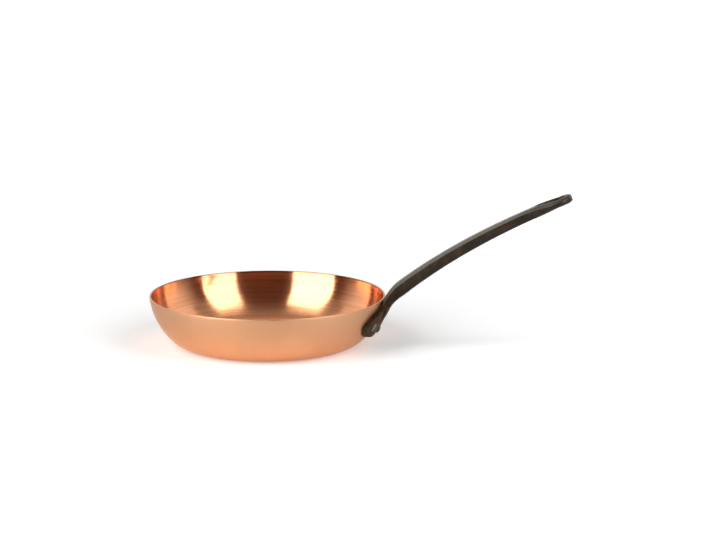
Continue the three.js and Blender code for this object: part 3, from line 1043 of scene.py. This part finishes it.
def make_floor(studio, colours):
    """A floor that keeps the pan's shadow and pales into the background."""
    deselect_all()
    bpy.ops.mesh.primitive_plane_add(size=16.0, location=(0, 0, -FLOOR_DROP))
    floor = named("floor")
    settle(floor)
    tree, surface = bare_material(floor)
    away = vector_node(tree, "LENGTH", add_node(tree, "ShaderNodeTexCoord").outputs["Object"])
    near, far = studio.near_glow, studio.far_glow
    paleness = stretch(tree, away, PALE_START, PALE_FULL, near, far, kind="LINEAR")
    path = add_node(tree, "ShaderNodeLightPath").outputs
    seen = math_node(tree, "MULTIPLY", path["Is Camera Ray"], paleness)
    mirrored = math_node(tree, "MULTIPLY", path["Is Glossy Ray"], studio.mirror_glow)
    strength = math_node(tree, "ADD", seen, mirrored)
    matt = add_node(tree, "ShaderNodeBsdfDiffuse", Color=(*colours.floor, 1))
    glow = add_node(tree, "ShaderNodeEmission", Strength=strength)
    both = add_node(tree, "ShaderNodeAddShader")
    for entry, shader in zip(both.inputs, (matt, glow)):
        plug(tree, entry, shader.outputs[0])
    plug(tree, surface, both.outputs[0])


def around(studio, bearing, reach, height):
    """A place at a bearing off the camera's, positive to the right of the picture."""
    heading = studio.camera_azimuth + bearing
    return Vector((math.sin(heading) * reach, -math.cos(heading) * reach, height))


def make_softbox(name, studio, bearing, width, watts):
    """A tall area light that faces the pan, bowed over it and leaning outwards."""
    reach, tall, bow = studio.softbox_reach, studio.softbox_height, studio.softbox_bow
    place = around(studio, bearing, reach, studio.softbox_foot + tall / 2 * math.cos(bow))
    deselect_all()
    bpy.ops.object.light_add(type="AREA", location=place)
    lamp = bpy.context.active_object
    lamp.name = name
    lamp.data.shape = "RECTANGLE"
    lamp.data.size = width
    lamp.data.size_y = tall
    lamp.data.energy = watts
    lamp.rotation_mode = "QUATERNION"
    down = -reach * math.tan(bow)
    facing = Vector((-place.x, -place.y, down)).to_track_quat("-Z", "Y")
    lean = math.copysign(studio.softbox_lean, -bearing)
    lamp.rotation_quaternion = facing @ Quaternion(UPRIGHT, lean)


def dress_card(card, studio, low, high, low_tint, high_tint):
    """Lets only mirrors see a card, and fades its colour between two reaches to the camera."""
    tree, surface = bare_material(card)
    place = add_node(tree, "ShaderNodeTexCoord").outputs["Object"]
    reach = vector_node(tree, "DOT_PRODUCT", place, around(studio, 0, 1, 0))
    fade = add_node(tree, "ShaderNodeValToRGB", Fac=stretch(tree, reach, low, high))
    fade.color_ramp.elements[0].color = (*low_tint, 1)
    fade.color_ramp.elements[1].color = (*high_tint, 1)
    glow = add_node(tree, "ShaderNodeEmission", Color=fade.outputs["Color"])
    plug(tree, surface, glow.outputs[0])
    card.visible_camera = card.visible_diffuse = False
    card.visible_shadow = card.visible_transmission = False


def make_curtain(studio):
    """A dark curtain on the camera's side that pales towards its ends."""
    sweep, reach = studio.curtain_sweep, studio.curtain_reach
    foot = around(studio, sweep, reach, 0)
    curtain = start_drawing("curtain", foot)
    draw_lines(foot, foot + Vector((0, 0, studio.curtain_height)))
    pick_all()
    bpy.ops.mesh.spin(steps=48, angle=2 * sweep, center=(0, 0, 0), axis=UPRIGHT)
    set_mode("OBJECT")
    end = math.cos(sweep) * reach
    dress_card(curtain, studio, end, CURTAIN_DARK * reach, studio.curtain_end, studio.curtain)


def make_ceiling(studio):
    """A ceiling over the pan that darkens towards the camera."""
    height = studio.ceiling_height
    middle = around(studio, 0, studio.ceiling_reach, height)
    deselect_all()
    bpy.ops.mesh.primitive_plane_add(size=studio.ceiling_size, location=middle)
    ceiling = named("ceiling")
    ceiling.rotation_euler.z = studio.camera_azimuth
    settle(ceiling)
    dress_card(ceiling, studio, 0.0, CEILING_DARK * height, studio.ceiling, studio.ceiling_front)


class FRYINGPAN_OT_studio(Operator):
    """Set up the pale floor, the soft light, the cards and the camera"""

    bl_idname = "frying_pan.studio"
    bl_label = "Studio"

    def execute(self, context):
        scene = context.scene
        studio, colours = scene.frying_pan_studio, scene.frying_pan_finish
        scene.view_settings.view_transform = "Standard"
        make_world(studio)
        make_floor(studio, colours)
        left, right = studio.left_bearing, studio.right_bearing
        make_softbox("softbox_left", studio, left, studio.left_width, studio.left_power)
        make_softbox("softbox_right", studio, right, studio.right_width, studio.right_power)
        make_curtain(studio)
        make_ceiling(studio)
        self.place_camera(scene, studio)
        return {"FINISHED"}

    def place_camera(self, scene, studio):
        climb = studio.camera_elevation
        aim = around(studio, math.pi / 2, studio.aim_right, studio.aim_height)
        back = around(studio, 0, math.cos(climb), math.sin(climb))
        deselect_all()
        bpy.ops.object.camera_add(location=aim + back * studio.camera_distance)
        camera = bpy.context.active_object
        camera.name = "camera"
        camera.data.lens = studio.camera_lens
        camera.rotation_mode = "QUATERNION"
        camera.rotation_quaternion = (-back).to_track_quat("-Z", "Y")
        scene.camera = camera


class VIEW3D_PT_frying_pan(Panel):
    """The pan's sizes, finishes and pieces"""

    bl_label = "Frying pan"
    bl_space_type = "VIEW_3D"
    bl_region_type = "UI"
    bl_category = "Frying pan"

    def draw(self, context):
        layout = self.layout
        for key in GROUPS:
            box = layout.box()
            group = getattr(context.scene, key)
            for name in group.__annotations__:
                box.prop(group, name)
        for operator in OPERATORS:
            layout.operator(operator.bl_idname)


GROUPS = {
    "frying_pan_body": CopperBodySizes,
    "frying_pan_handle": HandleSizes,
    "frying_pan_rivets": RivetSizes,
    "frying_pan_finish": FinishColours,
    "frying_pan_studio": StudioSettings,
}
OPERATORS = (
    FRYINGPAN_OT_studio,
    FRYINGPAN_OT_copper_body,
    FRYINGPAN_OT_iron_handle,
    FRYINGPAN_OT_rivets,
)
CLASSES = (*GROUPS.values(), *OPERATORS, VIEW3D_PT_frying_pan)


def register():
    for item in CLASSES:
        bpy.utils.register_class(item)
    for key, group in GROUPS.items():
        setattr(bpy.types.Scene, key, PointerProperty(type=group))


def unregister():
    for key in GROUPS:
        delattr(bpy.types.Scene, key)
    for item in reversed(CLASSES):
        bpy.utils.unregister_class(item)


def main():
    register()
    bpy.ops.frying_pan.studio()
    bpy.ops.frying_pan.copper_body()
    bpy.ops.frying_pan.iron_handle()
    bpy.ops.frying_pan.rivets()


if __name__ == "__main__":
    main()
